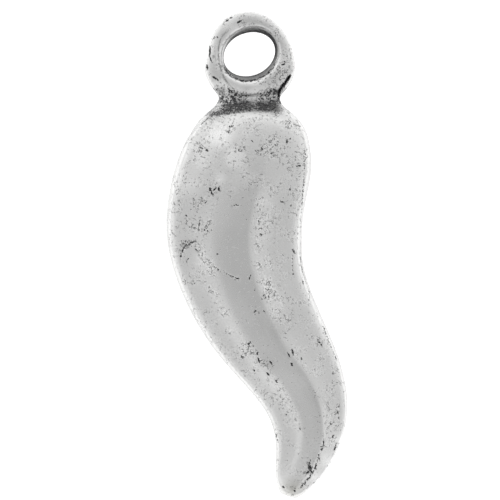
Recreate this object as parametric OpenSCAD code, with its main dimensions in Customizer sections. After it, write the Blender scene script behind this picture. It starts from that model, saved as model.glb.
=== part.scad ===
// A chili pepper charm: one casting of a pepper body, a neck and a loop for a jump ring.
// It lies on its back: +Z is up from the surface that it rests on, +Y points to the loop,
// and the origin is the bottom centre of its box. All sizes are in millimetres.

/* [Overall] */
// Length of the charm, from the top of the loop to the tip
charm_len = 22; // [20:0.5:25]
// Thickness of the pepper body at its fullest
body_t = 4.4; // [3.8:0.1:5]

/* [Folds] */
// Depth of the long folds beside the middle rib
fold_depth = 0.3; // [0:0.05:0.4]

/* [Neck] */
// Thickness of the neck at its thinnest
neck_t = 1.3; // [1:0.1:1.6]

/* [Loop] */
// Thickness of the loop, front to back
loop_t = 1.7; // [1.6:0.1:1.9]
// Diameter of the hole for a jump ring
hole_d = 2.2; // [1.8:0.1:2.4]
// Length of the straight part of the hole's wall
hole_land = 1; // [0.9:0.1:1.2]

/* [Detail] */
// Number of steps from one row of a table to the next
ring_steps = 2; // [2:1:3]

/* [Hidden] */
$fn = 64;

// The tables below were drawn for a charm of this length. Places and widths grow with
// charm_len, while thicknesses and the hole keep the sizes given above.
drawn_len = 22;
grow = charm_len / drawn_len;

// Centre of the loop and its outer radius, as drawn
loop_x = -0.32;
loop_y = 9.06;
loop_r = 1.94;
// Power of the loop's outline from the side: it turns over all round in the same way
rim_power = 3;
// Angles above level of the rings over the top half of the loop
LOOP_ANGLES = [88, 83, 77, 70, 62, 54, 45, 36, 27, 18, 9];

// Columns of the tables of sections, and of every ring that is made from them
ACROSS = 0; // place of the section's centre along X
ALONG = 1;  // place of the section's centre along Y
LEAN = 2;   // angle of the section, in degrees: positive lifts its right-hand end
WIDE = 3;   // full width, as drawn
THICK = 4;  // full thickness
SQUARE = 5; // power of the outline: 2 is an ellipse, more is squarer
RIB = 6;    // strength of the middle rib and the folds beside it, 0 to 1
OFF = 7;    // how far the rib lies to the right, as a share of half the width

// The loop's lower half and the neck
NECK = [
    // ACROSS ALONG LEAN WIDE  THICK   SQUARE RIB OFF
    [loop_x,  loop_y, 0, 2 * loop_r, loop_t,  rim_power, 0, 0],
    [-0.32,   8.65,   0, 3.91, loop_t,        rim_power, 0, 0],
    [-0.31,   8.25,   0, 3.93, loop_t,        rim_power, 0, 0],
    [-0.30,   7.92,   0, 3.79, 0.98 * loop_t, 3.0, 0, 0],
    [-0.27,   7.60,   0, 3.38, 0.90 * loop_t, 2.9, 0, 0],
    [-0.31,   7.28,   0, 2.91, 1.04 * neck_t, 2.8, 0, 0],
    [-0.32,   6.96,   0, 2.88, neck_t,        2.7, 0, 0],
    [-0.36,   6.70,   0, 3.20, 1.4 * neck_t,  2.7, 0, 0],
];

// The pepper body, from the shoulder to the tip
BODY = [
    // ACROSS ALONG LEAN WIDE  THICK   SQUARE RIB OFF
    [-0.36,   6.46,   0, 3.76, 0.62 * body_t,  3.1, 0.3, 0],
    [-0.31,   6.18,  -1, 4.42, 0.725 * body_t, 3.3, 0.4, 0],
    [-0.27,   5.75,  -3, 5.02, 0.80 * body_t,  3.4, 0.5, 0],
    [-0.29,   5.20,  -6, 5.40, 0.87 * body_t,  3.6, 0.5, 0.05],
    [-0.41,   4.40,  -9, 5.88, 0.94 * body_t,  3.7, 0.6, 0.1],
    [-0.70,   3.40, -10, 6.02, 0.985 * body_t, 3.8, 0.8, 0.08],
    [-0.95,   2.20,  -7, 6.08, body_t,         3.8, 0.9, 0.06],
    [-1.05,   1.00,   2, 6.12, body_t,         3.8, 1.0, 0],
    [-0.85,  -0.20,  13, 5.86, body_t,         3.8, 1.0, 0],
    [-0.42,  -1.60,  23, 5.46, body_t,         3.8, 1.0, 0],
    [ 0.28,  -3.00,  30, 5.08, 0.99 * body_t,  3.8, 1.0, -0.04],
    [ 1.14,  -4.34,  31, 4.59, 0.935 * body_t, 3.8, 1.0, -0.08],
    [ 1.90,  -5.64,  25, 4.09, 0.85 * body_t,  3.8, 1.0, 0.02],
    [ 2.32,  -6.90,   9, 3.70, 0.755 * body_t, 3.8, 1.0, 0.1],
    [ 2.34,  -8.04,  -6, 3.16, 0.65 * body_t,  3.8, 1.0, 0.2],
    [ 2.09,  -9.14, -17, 2.55, 0.545 * body_t, 3.6, 0.9, 0.2],
    [ 1.75,  -9.94, -24, 2.00, 0.455 * body_t, 3.2, 0.7, 0.15],
    [ 1.55, -10.40, -24, 1.46, 0.38 * body_t,  2.8, 0.4, 0.08],
    [ 1.47, -10.67, -20, 1.09, 0.28 * body_t,  2.4, 0.0, 0],
];

// Length of the rounded cap that closes the tip, and the angles of its rings
cap_len = 0.28;
CAP_ANGLES = [30, 55, 75];

// Places across a section where its outline has a corner, as shares of half the width
CORNERS = [0, 0.2, 0.27, 0.34, 0.41, 0.49, 0.59, 0.70, 0.80, 0.88, 0.94, 0.975, 0.995, 1];

// The top of the rib is flat over this share of the width, and the charm rests on it
rib_flat = 0.2;
// The folds beside the rib sink between these shares of half the width, and rise again
// between the next two
FOLD_IN = [0.22, 0.45];
FOLD_OUT = [0.8, 0.98];

// Point between rows p1 and p2 of a table, at share t, on a smooth curve through all the rows
function between(p0, p1, p2, p3, t) = 0.5 * (2 * p1
    + t * (p2 - p0)
    + t * t * (2 * p0 - 5 * p1 + 4 * p2 - p3)
    + t * t * t * (3 * p1 - p0 - 3 * p2 + p3));

// The rows of a table with ring_steps - 1 more set between each two of them
function smooth_rows(rows) = [
    for (i = [0 : len(rows) - 2], s = [0 : ring_steps - 1])
        between(rows[max(i - 1, 0)], rows[i], rows[i + 1], rows[min(i + 2, len(rows) - 1)], s / ring_steps),
    rows[len(rows) - 1],
];

// The ring over the top of the loop at an angle above level
function loop_ring(angle) = [
    loop_x,
    loop_y + loop_r * sin(angle),
    0,
    2 * loop_r * cos(angle),
    loop_t * pow(1 - pow(sin(angle), rim_power), 1 / rim_power),
    rim_power, 0, 0,
];

// The ring round the cap of the tip at an angle, which carries on from the last row of the body
last = BODY[len(BODY) - 1];
tip_way = [sin(last[LEAN]), -cos(last[LEAN])];
function cap_ring(angle) = [
    last[ACROSS] + cap_len * sin(angle) * tip_way[0],
    last[ALONG] + cap_len * sin(angle) * tip_way[1],
    last[LEAN],
    last[WIDE] * cos(angle),
    last[THICK] * cos(angle),
    last[SQUARE], 0, 0,
];

RINGS = concat(
    [for (angle = LOOP_ANGLES) loop_ring(angle)],
    smooth_rows(concat(NECK, BODY)),
    [for (angle = CAP_ANGLES) cap_ring(angle)]
);

// A smooth rise from 0 to 1 as u goes from the first to the second of two values
function rise(ends, u) =
    let (t = max(0, min(1, (u - ends[0]) / (ends[1] - ends[0]))))
    t * t * (3 - 2 * t);

// Depth of a fold, 0 to 1, at a share of half the width
function fold(u) = rise(FOLD_IN, u) - rise(FOLD_OUT, u);

// Half thickness of a ring at a share of half the width. The smooth curve through the rows may
// not swell past the fullest thickness, so that the ribs' flat tops lie in one plane.
function half_thick(ring, u) =
    let (
        thick = min(ring[THICK], body_t),
        flat = rib_flat * ring[RIB],
        beyond = max(0, (u - flat) / (1 - flat))
    )
    thick / 2 * pow(1 - pow(beyond, ring[SQUARE]), 1 / ring[SQUARE])
    - fold_depth * thick / body_t * ring[RIB] * fold(u);

// A point of a ring: side is 1 for the right half and -1 for the left, face is 1 for the front
// and -1 for the back. The rib's sideways place moves the middle and leaves the edges.
function ring_point(ring, u, side, face) =
    let (
        sideways = (side * u + ring[OFF] * (1 - u * u)) * ring[WIDE] / 2,
        up = face * half_thick(ring, u)
    )
    [
        grow * (ring[ACROSS] + sideways * cos(ring[LEAN])),
        grow * (ring[ALONG] + sideways * sin(ring[LEAN])),
        up,
    ];

// The points of a ring, anticlockwise seen from the loop's end, from the middle of the front
corners = len(CORNERS) - 1;
function ring_points(ring) = [
    for (j = [0 : corners]) ring_point(ring, CORNERS[j], -1, 1),
    for (j = [corners - 1 : -1 : 0]) ring_point(ring, CORNERS[j], -1, -1),
    for (j = [1 : corners]) ring_point(ring, CORNERS[j], 1, -1),
    for (j = [corners - 1 : -1 : 1]) ring_point(ring, CORNERS[j], 1, 1),
];
sides = 4 * corners;

// The points that close the skin at the top of the loop and at the tip
top_pole = grow * [loop_x, loop_y + loop_r, 0];
tip_pole = grow * [last[ACROSS] + cap_len * tip_way[0], last[ALONG] + cap_len * tip_way[1], 0];
SKIN = concat([top_pole], [for (ring = RINGS) each ring_points(ring)], [tip_pole]);

// The way from the place where the tables draw the charm to its origin
x_values = [for (p = SKIN) p[0]];
y_values = [for (p = SKIN) p[1]];
z_values = [for (p = SKIN) p[2]];
seat = [
    -(min(x_values) + max(x_values)) / 2,
    -(min(y_values) + max(y_values)) / 2,
    -min(z_values),
];

// Number of a point of the skin, by its ring and its place round it
function at(ring, j) = 1 + ring * sides + j % sides;
SKIN_FACES = concat(
    [for (j = [0 : sides - 1]) [0, at(0, j), at(0, j + 1)]],
    [for (i = [0 : len(RINGS) - 2], j = [0 : sides - 1]) each [
        [at(i, j), at(i + 1, j + 1), at(i, j + 1)],
        [at(i, j), at(i + 1, j), at(i + 1, j + 1)],
    ]],
    [for (j = [0 : sides - 1]) [len(SKIN) - 1, at(len(RINGS) - 1, j + 1), at(len(RINGS) - 1, j)]]
);

// The whole outer form of the casting, with no hole in the loop
module casting_blank() {
    polyhedron(points = SKIN, faces = SKIN_FACES, convexity = 6);
}

// What is cut out of the loop: a straight bore whose two lips are rounded
hole_lip = (loop_t - hole_land) / 2;
module jump_ring_hole() {
    translate(grow * [loop_x, loop_y, 0])
        for (face = [0, 1])
            mirror([0, 0, face])
                rotate_extrude()
                    difference() {
                        square([hole_d / 2 + hole_lip, loop_t]);
                        translate([hole_d / 2, 0])
                            square([loop_t, hole_land / 2]);
                        translate([hole_d / 2 + hole_lip, hole_land / 2])
                            circle(r = hole_lip);
                    }
}

module pepper_charm() {
    color("silver")
        translate(seat)
            difference() {
                casting_blank();
                jump_ring_hole();
            }
}

pepper_charm();
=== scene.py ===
"""A chili pepper charm: one casting in antique silver, lying on a pale light table.

The casting is modelled a thousand times its size, so that one unit is a millimetre, and is
brought to its real size at the end. +Y points to the loop and +Z up from the table. Places are
measured from a zero near the middle of the charm, and are moved to the part's origin at the end.
"""

import logging
import math
from dataclasses import dataclass, field
from enum import Enum
from functools import partialmethod
from typing import Callable, Iterable, Sequence

import bmesh
import bpy
import numpy as np
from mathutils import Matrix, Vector


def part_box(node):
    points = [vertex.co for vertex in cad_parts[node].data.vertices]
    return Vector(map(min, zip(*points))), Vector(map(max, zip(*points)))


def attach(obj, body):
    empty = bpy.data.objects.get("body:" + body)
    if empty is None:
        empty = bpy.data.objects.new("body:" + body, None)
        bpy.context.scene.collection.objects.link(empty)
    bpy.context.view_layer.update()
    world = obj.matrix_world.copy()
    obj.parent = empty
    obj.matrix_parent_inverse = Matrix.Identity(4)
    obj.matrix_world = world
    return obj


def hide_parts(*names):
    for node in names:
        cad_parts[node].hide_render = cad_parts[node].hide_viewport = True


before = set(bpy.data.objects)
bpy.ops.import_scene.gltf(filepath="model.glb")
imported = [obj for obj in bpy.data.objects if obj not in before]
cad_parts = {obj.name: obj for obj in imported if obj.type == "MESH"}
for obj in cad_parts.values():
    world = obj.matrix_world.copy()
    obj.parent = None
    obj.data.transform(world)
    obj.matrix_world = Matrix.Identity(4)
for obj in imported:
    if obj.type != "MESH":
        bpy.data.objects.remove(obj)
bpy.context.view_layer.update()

log = logging.getLogger("pepper_charm")

MM = 0.001
CAD_NODE = "pepper_charm"
BODY = "root"

# Height of the plane where the two halves of the casting meet, in millimetres
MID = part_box(CAD_NODE)[1].z / MM / 2

# Place of the tables' zero in the part's frame, in millimetres
SEAT = (-0.0195, -0.0038)

# Two values between which something fades in or out
Span = tuple[float, float]
Colour = tuple[float, float, float]
Fed = bpy.types.NodeSocket | float | tuple[float, ...]


class Pick(Enum):
    """What is picked by hand in an open mesh, under the mesh's own name for it."""

    POINTS = "verts"
    EDGES = "edges"
    FACES = "faces"


class Tone(Enum):
    """Attributes that the silver's finish reads from the casting, painted light and shade among
    them.
    """

    # The broken black holds patina and painted shade.
    TARNISH = "tarnish"
    # The even black holds patina and painted shade.
    FILM = "film"
    MATT = "matt"
    MARKS = "marks"
    PITTING = "pitting"
    SPECKLE = "speckle"
    STAIN = "stain"
    # Burnished metal with painted highlights and shade, in one tone.
    POLISH = "polish"


def table(kind: type, *rows: Sequence[float]) -> tuple:
    """Turns the rows of a table into objects.

    Args:
        kind: the class of the objects.
        rows: the values of each object, in the order of its fields.

    Returns:
        The objects.
    """
    return tuple(kind(*row) for row in rows)


def lone_choice(piece: bpy.types.Object) -> None:
    """Deselects everything, then makes one piece the selected and active one.

    Args:
        piece: the object that the next operators act on.
    """
    bpy.ops.object.select_all(action="DESELECT")
    piece.select_set(True)
    bpy.context.view_layer.objects.active = piece


def ease(low: float, high: float, value: np.ndarray) -> np.ndarray:
    """A smooth rise from 0 to 1.

    Args:
        low: the value up to which the result is 0.
        high: the value from which the result is 1.
        value: the values to judge.

    Returns:
        One number from 0 to 1 for each value.
    """
    t = np.clip((value - low) / (high - low), 0.0, 1.0)
    return t * t * (3.0 - 2.0 * t)


@dataclass(frozen=True)
class Spots:
    """Where points or faces of the casting lie, in millimetres."""

    x: np.ndarray
    y: np.ndarray
    z: np.ndarray
    up: np.ndarray
    """How far the skin faces up, from 1 on level skin of the front to -1 on the back."""

    @classmethod
    def read(cls, parts: bpy.types.bpy_prop_collection, place: str) -> "Spots":
        """Reads the places of a mesh's points or faces.

        Args:
            parts: the points or faces.
            place: what they call their place.

        Returns:
            The spots, in the order of the parts.
        """
        found = []
        for name in (place, "normal"):
            values = np.empty(3 * len(parts))
            parts.foreach_get(name, values)
            found.append(values.reshape(-1, 3).T)
        return cls(*found[0], found[1][2])

    @property
    def level(self) -> np.ndarray:
        """How level the skin lies, from 0 to 1."""
        return np.abs(self.up)

    @property
    def front(self) -> np.ndarray:
        """1 on the front and 0 on the back, with a soft change at the parting line."""
        return ease(MID, MID + 0.25, self.z)


class Bench:
    """Hand work on one mesh in edit mode: parts are picked in code and moved by operators."""

    def __init__(self, piece: bpy.types.Object, pick: Pick = Pick.POINTS) -> None:
        """Keeps the piece and what is picked."""
        self.piece = piece
        self.kind = pick

    def __enter__(self) -> "Bench":
        """Opens the piece alone in edit mode, with nothing picked.

        Returns:
            The bench itself.
        """
        lone_choice(self.piece)
        bpy.ops.object.mode_set(mode="EDIT")
        self.switch(self.kind)
        bpy.ops.mesh.select_all(action="DESELECT")
        return self

    def __exit__(self, *problem: object) -> None:
        """Closes the piece."""
        bpy.ops.object.mode_set(mode="OBJECT")

    def switch(self, kind: Pick) -> None:
        """Says what is picked from now on."""
        self.kind = kind
        bpy.context.tool_settings.mesh_select_mode = tuple(each is kind for each in Pick)

    def mesh(self) -> bmesh.types.BMesh:
        """Reads the open mesh.

        Returns:
            The mesh, with its points numbered.
        """
        mesh = bmesh.from_edit_mesh(self.piece.data)
        mesh.verts.ensure_lookup_table()
        return mesh

    def pick(self, test: Callable[[bmesh.types.BMVert], bool]) -> None:
        """Picks only the parts that pass a test.

        Args:
            test: takes a point, edge or face and says whether it is picked.
        """
        mesh = self.mesh()
        for edge in mesh.edges:
            edge.select = False
        for part in getattr(mesh, self.kind.value):
            part.select = bool(test(part))
        mesh.select_flush_mode()
        bmesh.update_edit_mesh(self.piece.data, loop_triangles=False, destructive=False)

    def pick_numbers(self, numbers: Iterable[int]) -> None:
        """Picks only the parts with these numbers."""
        wanted = set(numbers)
        self.pick(lambda part: part.index in wanted)

    def picked(self) -> list[int]:
        """Numbers of the points that are picked."""
        return [point.index for point in self.mesh().verts if point.select]

    def place(self, number: int) -> Vector:
        """The place of one point."""
        return self.mesh().verts[number].co.copy()

    def move(self, way: Sequence[float]) -> None:
        """Moves what is picked along X, Y and Z."""
        bpy.ops.transform.translate(value=way)

    def stretch(self, factors: Sequence[float], centre: Sequence[float]) -> None:
        """Stretches what is picked about a centre, by factors along X, Y and Z."""
        bpy.ops.transform.resize(value=factors, center_override=centre)

    def turn(self, degrees: float, centre: Sequence[float]) -> None:
        """Turns what is picked about an upright line, anticlockwise seen from above."""
        if degrees:
            bpy.ops.transform.rotate(
                value=math.radians(-degrees), orient_axis="Z", center_override=centre
            )


@dataclass(frozen=True)
class Line:
    """A lengthwise line of the pepper, on the front and on the back alike."""

    share: float
    """Place across, as a share of half the width: negative is left."""
    height: float
    """Height there of a section with sharp folds, as a share of half the thickness."""
    soft: float
    """Height there of a section with soft folds."""


@dataclass(frozen=True)
class Station:
    """One ring round the pepper, square to its bent middle line."""

    across: float
    """Place of the ring's centre along X."""
    along: float
    """Place of the ring's centre along Y."""
    lean: float
    """Angle of the ring in degrees: positive lifts its right-hand end."""
    wide: float
    """Full width."""
    thick: float
    """Full thickness, as a share of the fullest."""
    square: float
    """Power of the outline: 2 is an ellipse, more is squarer."""
    rib: float
    """Strength of the rib and its folds, from 0 to 1."""
    off: float
    """How far the rib lies to the right, as a share of half the width."""
    soft_left: float = 0.0
    """How soft the fold on the left is, from 0 to 1."""
    soft_right: float = 0.0
    """How soft the fold on the right is."""


@dataclass(frozen=True)
class Pepper:
    """The pepper body with its neck: rings extruded one after another from the neck to the tip."""

    full_thick: float = 2 * MID
    """Thickness at the fullest."""
    swell: tuple[float, float] = (1.028, 1.003)
    """What the smoothing takes off each ring, given back to its width and its thickness."""
    lines: tuple[Line, ...] = table(
        Line,
        (1, 0, 0), (0.978, 0.53, 0.54), (0.92, 0.705, 0.72), (0.74, 0.765, 0.82),
        (0.52, 0.84, 0.89), (0.35, 0.92, 0.94), (0.22, 0.99, 0.975), (0.17, 1, 0.985),
        (-0.08, 0.999, 0.985), (-0.28, 0.985, 0.945), (-0.37, 0.955, 0.92), (-0.48, 0.905, 0.885),
        (-0.61, 0.845, 0.845), (-0.77, 0.79, 0.79), (-0.92, 0.735, 0.735), (-0.98, 0.55, 0.55),
        (-1, 0, 0),
    )
    stations: tuple[Station, ...] = table(
        Station,
        (-0.32, 7.12, 0, 2.58, 0.305, 2.8, 0, 0), (-0.33, 6.92, 0, 2.86, 0.3, 2.7, 0, 0),
        (-0.34, 6.71, 0, 3.06, 0.42, 2.6, 0.5, 0, 1, 1),
        (-0.35, 6.46, 0, 3.72, 0.62, 2.6, 1, 0, 1, 1),
        (-0.28, 6.18, -1, 4.36, 0.725, 2.6, 1, 0, 1, 1),
        (-0.24, 5.75, -3, 4.99, 0.8, 2.6, 1, 0, 1, 1),
        (-0.29, 5.2, -6, 5.4, 0.868, 2.6, 1, 0.05, 1, 1),
        (-0.41, 4.4, -9, 5.88, 0.94, 2.6, 1, 0.1, 1, 0.9),
        (-0.7, 3.4, -10, 6.02, 0.985, 2.6, 1, 0.08, 1, 0.55),
        (-0.95, 2.2, -7, 6.08, 1, 2.5, 1, 0.06, 0.9, 0.2),
        (-1.05, 1, 2, 6.12, 1, 2.5, 1, 0, 0.5, 0.1),
        (-0.85, -0.2, 13, 5.86, 1, 2.5, 1, -0.02, 0.2, 0.1),
        (-0.44, -1.6, 23, 5.41, 1, 2.5, 1, -0.04, 0, 0.1),
        (0.26, -3, 30, 5.05, 0.99, 2.5, 1, -0.06, 0, 0.2),
        (1.15, -4.34, 31, 4.56, 0.935, 2.5, 1, -0.11, 0, 0.4),
        (1.93, -5.64, 25, 4.1, 0.85, 2.5, 1, 0.02, 0, 0.3),
        (2.36, -6.9, 9, 3.72, 0.755, 2.5, 1, 0.09, 0, 0.15),
        (2.37, -8.04, -6, 3.14, 0.65, 2.5, 1, 0.22, 0, 0.1),
        (2.11, -9.14, -17, 2.53, 0.545, 2.5, 1, 0.24, 0.4, 0.2),
        (1.75, -9.94, -24, 2, 0.455, 2.6, 1, 0.18, 0.8, 0.6),
        (1.54, -10.42, -24, 1.48, 0.405, 2.8, 0.8, 0.08, 1, 1),
        (1.47, -10.72, -20, 1.08, 0.35, 2.8, 0.4, 0, 1, 1),
        (1.41, -10.89, -20, 0.76, 0.23, 2.5, 0, 0),
    )
    steps_between: int = 6
    """Steps from station to station in which the nearest place along the pepper is sought."""

    @property
    def sides(self) -> int:
        """How many points a ring has."""
        return 2 * (len(self.lines) - 1)

    def height(self, line: Line, station: Station) -> float:
        """Works out how high a line lies at a station.

        Args:
            line: the lengthwise line.
            station: the ring.

        Returns:
            The height, as a share of half the thickness there.
        """
        oval = (1 - abs(line.share) ** station.square) ** (1 / station.square)
        soft = station.soft_left if line.share < 0 else station.soft_right
        folded = line.height + soft * (line.soft - line.height)
        return oval + station.rib * (folded - oval)

    def shape_ring(self, bench: Bench, ring: Sequence[int], station: Station) -> None:
        """Brings a ring that lies square to Y to a station's width, thickness and profile.

        Args:
            bench: the open mesh.
            ring: the ring's points, anticlockwise from the right-hand end seen from the tip.
            station: the sizes that it gets.
        """
        centre_x = sum(bench.place(n).x for n in (ring[0], ring[self.sides // 2])) / 2
        full = self.swell[1] * station.thick * self.full_thick / 2
        for j, line in enumerate(self.lines):
            sideways = line.share + station.off * (1 - line.share**2)
            wanted_x = centre_x + self.swell[0] * sideways * station.wide / 2
            wanted_z = full * self.height(line, station)
            now = bench.place(ring[j])
            bench.pick_numbers({ring[j], ring[-j]})
            bench.move((wanted_x - now.x, 0, 0))
            if wanted_z > 0:
                bench.stretch((1, 1, wanted_z / (now.z - MID)), (now.x, now.y, MID))

    def model(self) -> bpy.types.Object:
        """Models the pepper's cage, open at the neck and closed at the tip.

        Returns:
            The new object.
        """
        before = self.stations[0]
        bpy.ops.object.select_all(action="DESELECT")
        bpy.ops.mesh.primitive_circle_add(
            vertices=self.sides, radius=before.wide / 2, location=(0, 0, 0)
        )
        piece = bpy.context.object
        piece.name = "pepper_cage"
        with Bench(piece) as bench:
            bpy.ops.mesh.select_all(action="SELECT")
            bpy.ops.transform.rotate(
                value=math.radians(90), orient_axis="X", center_override=(0, 0, 0)
            )
            bench.move((before.across, before.along, MID))
            for station in self.stations:
                if station is not before:
                    bpy.ops.mesh.extrude_edges_move()
                    bench.turn(-before.lean, (before.across, before.along, MID))
                    bench.move((station.across - before.across, station.along - before.along, 0))
                ring = self.in_order(bench)
                self.shape_ring(bench, ring, station)
                bench.pick_numbers(ring)
                bench.turn(station.lean, (station.across, station.along, MID))
                before = station
            bpy.ops.mesh.fill_grid(span=self.sides // 4)
        return piece

    def in_order(self, bench: Bench) -> list[int]:
        """Puts the picked ring's points in order round it.

        Args:
            bench: the open mesh, with a ring picked that lies square to Y.

        Returns:
            Their numbers, from the right-hand end over the front to the left and back.
        """
        numbers = bench.picked()
        places = [bench.place(n) for n in numbers]
        middle = sum(p.x for p in places) / len(places)
        angles = [math.atan2(p.z - MID, p.x - middle) % math.tau for p in places]
        turned = [0.0 if a > math.tau - 0.001 else a for a in angles]
        return [n for _, n in sorted(zip(turned, numbers))]

    def shares(self, spots: Spots) -> np.ndarray:
        """Finds how far across the pepper each spot lies, seen from its rib.

        Args:
            spots: the places.

        Returns:
            Shares of half the width, negative on the left.
        """
        columns = np.array([(s.across, s.along, s.lean, s.wide, s.off) for s in self.stations]).T
        count = len(self.stations)
        steps = np.linspace(0, count - 1, self.steps_between * count)
        across, along, lean, wide, off = (
            np.interp(steps, np.arange(count), column) for column in columns
        )
        away = np.hypot(spots.x[:, None] - across, spots.y[:, None] - along)
        near = away.argmin(axis=1)
        way = np.radians(lean[near])
        right, forward = spots.x - across[near], spots.y - along[near]
        share = (right * np.cos(way) + forward * np.sin(way)) / (wide[near] / 2)
        return share - off[near] * np.maximum(0, 1 - share**2)


@dataclass(frozen=True)
class WallLine:
    """A line round the loop's wall, on the front and on the back alike."""

    across: float
    """Half its width along X."""
    along: float
    """Half its length along Y."""
    height: float
    """Height above the mid-plane."""
    turn: float = 0.0
    """Angle by which the line is turned, in degrees."""
    shift: tuple[float, float] = (0.0, 0.0)
    """How far its middle lies from the loop's centre."""


@dataclass(frozen=True)
class Loop:
    """The eye for a jump ring: a torus whose wall is drawn out front to back."""

    centre: tuple[float, float] = (-0.33, 9.06)
    steps: int = 20
    """How many steps the loop has round its hole."""
    wall: tuple[WallLine, ...] = table(
        WallLine,
        (1.985, 1.985, 0), (1.98, 1.98, 0.46), (1.935, 1.935, 0.69), (1.8, 1.8, 0.81),
        (1.52, 1.52, 0.88), (1.325, 1.165, 0.8, 36, (0.05, -0.015)),
        (1.22, 1.035, 0.42, 27, (0.015, 0.015)), (1.19, 0.93, 0, 21, (0, 0.034)),
    )
    crest: int = 4
    """The line of the wall that has a crease on the loop's left."""
    crease: float = 0.75
    """Sharpness of the crease, from 0 to 1."""
    crease_from: float = 0.5
    """How far left of the centre the crease begins."""
    seat_steps: int = 6
    """How many steps round the hole the neck takes up."""
    seat_lines: int = 3
    """How many lines above and below the rim the neck takes up."""
    haunch: tuple[tuple[float, float, float], ...] = (
        (-72, 0.02, -0.03), (-54, 0.02, -0.05), (-36, -0.05, -0.08), (-18, -0.06, -0.02),
        (0, -0.03, 0.05), (18, 0.22, 0.28), (36, 0.29, 0.35),
    )
    """Angle below level, and how far the rim stands out there on the left and on the right."""

    @property
    def mouth(self) -> WallLine:
        """The line of the wall where the hole opens."""
        return self.wall[-3]

    def in_mouth(self, spots: Spots) -> tuple[np.ndarray, np.ndarray]:
        """Finds where places lie, seen from the middle of the hole's mouth.

        Args:
            spots: the places.

        Returns:
            How far out they lie, which is 1 at the mouth, and at what angle, in degrees.
        """
        right = spots.x - self.centre[0] - self.mouth.shift[0]
        up = spots.y - self.centre[1] - self.mouth.shift[1]
        way = math.radians(self.mouth.turn)
        across = (right * math.cos(way) + up * math.sin(way)) / self.mouth.across
        along = (up * math.cos(way) - right * math.sin(way)) / self.mouth.along
        return np.hypot(across, along), np.degrees(np.arctan2(up, right))

    def out(self, place: Vector) -> float:
        """Distance of a place from the line through the loop's centre."""
        return math.hypot(place.x - self.centre[0], place.y - self.centre[1])

    def angle_below(self, place: Vector) -> float:
        """Angle of a place below level, seen from the loop's centre, in degrees from 0 to 90."""
        sideways = abs(place.x - self.centre[0])
        return math.degrees(math.atan2(self.centre[1] - place.y, sideways))

    def model(self) -> bpy.types.Object:
        """Models the loop's cage, open where the neck joins it.

        Returns:
            The new object.
        """
        middle = (*self.centre, MID)
        outer, inner = self.wall[0].across, self.wall[-1].across
        bpy.ops.object.select_all(action="DESELECT")
        bpy.ops.mesh.primitive_torus_add(
            major_segments=self.steps,
            minor_segments=2 * (len(self.wall) - 1),
            major_radius=(outer + inner) / 2,
            minor_radius=(outer - inner) / 2,
            location=(0, 0, 0),
        )
        piece = bpy.context.object
        piece.name = "loop_cage"
        with Bench(piece) as bench:
            bpy.ops.mesh.select_all(action="SELECT")
            bench.move(middle)
            lines = self.sort_lines(bench, (outer + inner) / 2)
            for j, line in enumerate(self.wall):
                bench.pick_numbers(lines[j] + lines[-j])
                now = bench.place(lines[j][0])
                radius = self.out(now)
                rise = line.height / (now.z - MID) if line.height else 1
                bench.turn(-line.turn, middle)
                bench.stretch((line.across / radius, line.along / radius, rise), middle)
                bench.turn(line.turn, middle)
                bench.move((*line.shift, 0))
            self.draw_out_haunches(bench)
            self.open_seat(bench)
            self.crease_crest(bench)
        return piece

    def sort_lines(self, bench: Bench, ring_radius: float) -> list[list[int]]:
        """Sorts the torus's points by the line round the wall that they lie on.

        Args:
            bench: the open mesh.
            ring_radius: radius of the circle through the middle of the wall.

        Returns:
            For each line the numbers of its points, from the rim over the front.
        """
        count = 2 * (len(self.wall) - 1)
        found: list[list[int]] = [[] for _ in range(count)]
        for point in bench.mesh().verts:
            angle = math.atan2(point.co.z - MID, self.out(point.co) - ring_radius) % math.tau
            found[round(angle / math.tau * count) % count].append(point.index)
        return found

    def draw_out_haunches(self, bench: Bench) -> None:
        """Draws the rim out at the lower sides, where it runs on into the neck.

        Args:
            bench: the open mesh.
        """
        rim = self.wall[self.seat_lines + 1].across
        half_step = 180 / self.steps
        for angle, *outs in self.haunch:
            way = math.radians(angle)
            for side, out in zip((-1, 1), outs):
                bench.pick(
                    lambda p: abs(self.angle_below(p.co) - angle) < half_step
                    and side * (p.co.x - self.centre[0]) > 0
                    and self.out(p.co) > rim
                )
                bench.move((side * out * math.cos(way), -out * math.sin(way), 0))

    def open_seat(self, bench: Bench) -> None:
        """Deletes the faces where the neck joins the loop.

        Args:
            bench: the open mesh.
        """
        half_seat = 180 / self.steps * self.seat_steps + 1
        rim = self.wall[self.seat_lines].across - 0.01
        bench.pick(
            lambda p: 90 - self.angle_below(p.co) < half_seat and self.out(p.co) > rim
        )
        bpy.ops.mesh.delete(type="ONLY_FACE")
        bpy.ops.mesh.select_all(action="SELECT")
        bpy.ops.mesh.delete_loose()

    def crease_crest(self, bench: Bench) -> None:
        """Makes the crest a crease on the loop's left.

        Args:
            bench: the open mesh.
        """
        crest = self.wall[self.crest].across
        left = self.centre[0] - self.crease_from

        def on_crest(place: Vector) -> bool:
            """Whether a place lies on the creased part of the crest."""
            return place.x < left and place.z > MID and abs(self.out(place) - crest) < 0.05

        bench.switch(Pick.EDGES)
        bench.pick(lambda edge: all(on_crest(end.co) for end in edge.verts))
        bpy.ops.transform.edge_crease(value=self.crease)


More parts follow.
